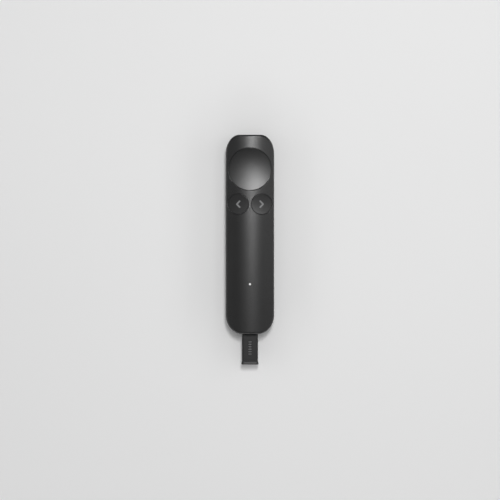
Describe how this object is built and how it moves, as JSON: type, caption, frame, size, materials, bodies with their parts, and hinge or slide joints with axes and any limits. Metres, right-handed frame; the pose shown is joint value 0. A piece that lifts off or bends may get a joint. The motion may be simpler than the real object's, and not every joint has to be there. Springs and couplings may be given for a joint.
{
  "type": "wireless presentation clicker",
  "caption": "Slim hand-held presentation clicker with a dished pointer key, back and next keys, a status light and a pull-out USB-C receiver in its tail.",
  "frame": {"origin": "centre of the housing on the resting plane, under the rear pad", "axes": "+X across the body, towards the next key; +Y along the body, from the receiver's tail to the head with the pointer key; +Z out of the key face"},
  "size_m": [0.0318, 0.1511, 0.0133],
  "materials": {
    "housing": "fine-grained matte, moulded",
    "keys": "soft matte",
    "key_marks": "two-shot moulded inlay",
    "rear_pad": "soft-touch, finely ribbed",
    "light_pipe": "clear, lit from below",
    "receiver_case": "satin, moulded",
    "dock_plastic": "moulded",
    "spring_steel": "rolled",
    "screw_steel": "zinc plated",
    "connector_steel": "drawn, nickel plated",
    "connector_plastic": "moulded",
    "circuit_board": "solder mask over copper tracks",
    "chip_resin": "moulded resin",
    "chip_ceramic": "fired",
    "led_body": "phosphor under clear resin",
    "battery_foil": "laminated pouch",
    "battery_tape": "double-sided tape",
    "foam": "closed cell",
    "lead_jacket": "round insulated lead",
    "motor_steel": "turned",
    "motor_boot": "moulded",
    "switch_plastic": "moulded",
    "switch_stem": "moulded"
  },
  "bodies": {
    "housing": {"front_shell": "housing", "rear_shell": "housing", "rear_pad": "rear_pad", "case_screws": "screw_steel", "board_screws": "screw_steel", "main_board": "circuit_board", "radio_shield": "connector_steel", "radio_chip": "chip_resin", "controller_chip": "chip_resin", "motion_sensor": "chip_resin", "charge_chip": "chip_resin", "chip_antenna": "chip_ceramic", "board_passives": "chip_ceramic", "status_led": "led_body", "led_lens": "light_pipe", "charge_port_shell": "connector_steel", "charge_port_tongue": "connector_plastic", "battery_cell": "battery_foil", "battery_tape": "battery_tape", "battery_cushion": "foam", "battery_board": "circuit_board", "battery_header": "connector_plastic", "battery_plug": "connector_plastic", "battery_leads": "lead_jacket", "motor_can": "motor_steel", "motor_boot": "motor_boot", "motor_leads": "lead_jacket", "dock_sleeve": "dock_plastic", "dock_spring": "spring_steel", "pointer_switch_base": "switch_plastic", "pointer_switch_cover": "connector_steel", "pointer_switch_dome": "spring_steel", "back_switch_base": "switch_plastic", "back_switch_cover": "connector_steel", "back_switch_dome": "spring_steel", "next_switch_base": "switch_plastic", "next_switch_cover": "connector_steel", "next_switch_dome": "spring_steel"},
    "pointer_key": {"pointer_key": "keys", "pointer_switch_stem": "switch_stem"},
    "back_key": {"back_key": "keys", "back_chevron": "key_marks", "back_switch_stem": "switch_stem"},
    "next_key": {"next_key": "keys", "next_chevron": "key_marks", "next_switch_stem": "switch_stem"},
    "receiver": {"receiver_front_cover": "receiver_case", "receiver_back_cover": "receiver_case", "receiver_board": "circuit_board", "receiver_chip": "chip_resin", "receiver_plug_shell": "connector_steel", "receiver_plug_insert": "connector_plastic"},
    "motor_rotor": {"motor_shaft": "motor_steel", "motor_weight": "motor_steel"}
  },
  "joints": [
    {"name": "pointer_press", "type": "slide", "parent": "housing", "child": "pointer_key", "axis": [0, 0, -1], "range_m": [0, 0.0005], "stiffness_N_per_m": 3000, "deforming": ["pointer_switch_dome"]},
    {"name": "back_press", "type": "slide", "parent": "housing", "child": "back_key", "axis": [0, 0, -1], "range_m": [0, 0.0004], "stiffness_N_per_m": 3000, "deforming": ["back_switch_dome"]},
    {"name": "next_press", "type": "slide", "parent": "housing", "child": "next_key", "axis": [0, 0, -1], "range_m": [0, 0.0004], "stiffness_N_per_m": 3000, "deforming": ["next_switch_dome"]},
    {"name": "receiver_slide", "type": "slide", "parent": "housing", "child": "receiver", "axis": [0, -1, 0], "range_m": [-0.0182, 0.015]},
    {"name": "motor_spin", "type": "hinge", "parent": "housing", "child": "motor_rotor", "pos_m": [0.0056, 0.0609, 0.0054], "axis": [1, 0, 0], "continuous": true}
  ]
}
